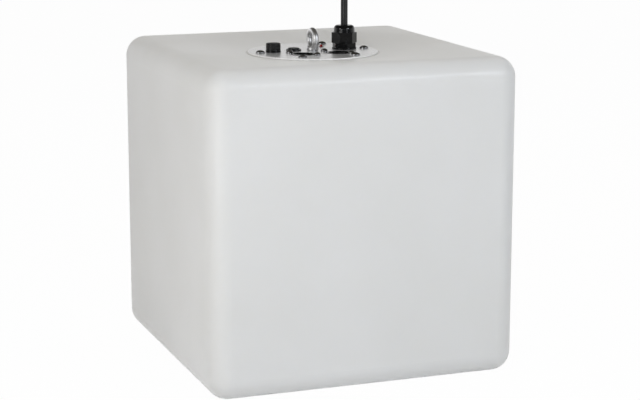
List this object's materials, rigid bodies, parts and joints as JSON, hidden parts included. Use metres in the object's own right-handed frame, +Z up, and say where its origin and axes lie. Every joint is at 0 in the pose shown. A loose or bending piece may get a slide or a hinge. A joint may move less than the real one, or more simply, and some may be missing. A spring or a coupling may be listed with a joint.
{
  "type": "led cube light",
  "caption": "Glowing white cube light with a dished top, round control plate, lifting eye, signal sockets, fuse holder, button and a mains cable.",
  "frame": {"origin": "middle of the shell's underside, on the floor", "axes": "+Z up through the control plate and lifting eye, -Y is the front face"},
  "size_m": [0.3, 0.4253, 0.4291],
  "materials": {
    "shell_white": "satin, translucent",
    "plate_steel": "satin",
    "bright_steel": "bright plated",
    "zinc_steel": "zinc plated",
    "brass": "plain",
    "black_nylon": "satin",
    "black_gloss": "gloss",
    "black_rubber": "matt",
    "red_lens": "clear, tinted",
    "clear_glass": "clear",
    "aluminium": "plain",
    "board_green": "lacquered",
    "board_white": "lacquered",
    "emitter": "clear over phosphor"
  },
  "bodies": {
    "lamp": {"cube_shell": "shell_white", "threaded_inserts": "brass", "plate_gasket": "black_rubber", "control_plate": "plate_steel", "plate_screws": "bright_steel", "eye_bolt": "zinc_steel", "eye_washer": "zinc_steel", "eye_nut": "zinc_steel", "gland_washer": "black_rubber", "gland_body": "black_nylon", "gland_seal": "black_rubber", "gland_dome_nut": "black_nylon", "gland_locknut": "black_nylon", "dmx_in_socket": "black_nylon", "dmx_in_pins": "bright_steel", "dmx_out_socket": "black_nylon", "dmx_out_core": "black_nylon", "dmx_out_contacts": "brass", "socket_screws": "bright_steel", "socket_nuts": "zinc_steel", "fuse_holder_body": "black_nylon", "fuse_contact": "brass", "fuse_nut": "black_nylon", "button_body": "black_gloss", "button_tags": "brass", "button_nut": "zinc_steel", "status_bezel": "black_gloss", "status_lens": "red_lens", "status_nut": "zinc_steel", "chassis_bracket": "aluminium", "power_supply": "black_nylon", "supply_screws": "zinc_steel", "board_standoffs": "brass", "control_board": "board_green", "board_screws": "zinc_steel", "board_parts": "black_nylon", "led_post": "aluminium", "post_screws": "zinc_steel", "led_boards": "board_white", "led_board_screws": "zinc_steel", "led_emitters": "emitter", "mains_lead": "black_rubber", "signal_leads": "black_rubber", "led_lead": "black_rubber", "mains_cable": "black_rubber", "mains_cable_tail": "black_rubber", "mains_cable_coil": "black_rubber", "coil_tie": "black_nylon", "mains_plug": "black_rubber", "plug_pins": "bright_steel"},
    "fuse_carrier": {"fuse_glass": "clear_glass", "fuse_end_caps": "bright_steel"},
    "fuse_knob": {"fuse_cap": "black_nylon"},
    "mode_button": {"button_cap": "black_gloss"},
    "latch_tab": {"dmx_latch": "black_nylon"}
  },
  "joints": [
    {"name": "mode_button_press", "type": "slide", "parent": "lamp", "child": "mode_button", "axis": [0, 0, -1], "range_m": [0, 0.0015], "stiffness_N_per_m": 500},
    {"name": "dmx_latch_press", "type": "slide", "parent": "lamp", "child": "latch_tab", "axis": [0, 0, -1], "range_m": [0, 0.0012], "stiffness_N_per_m": 800},
    {"name": "fuse_pull", "type": "slide", "parent": "lamp", "child": "fuse_carrier", "axis": [0, 0, 1], "range_m": [0, 0.04]},
    {"name": "fuse_cap_turn", "type": "hinge", "parent": "fuse_carrier", "child": "fuse_knob", "pos_m": [-0.0389, 0.003, 0.3], "axis": [0, 0, 1], "range_deg": [0, 90]}
  ]
}
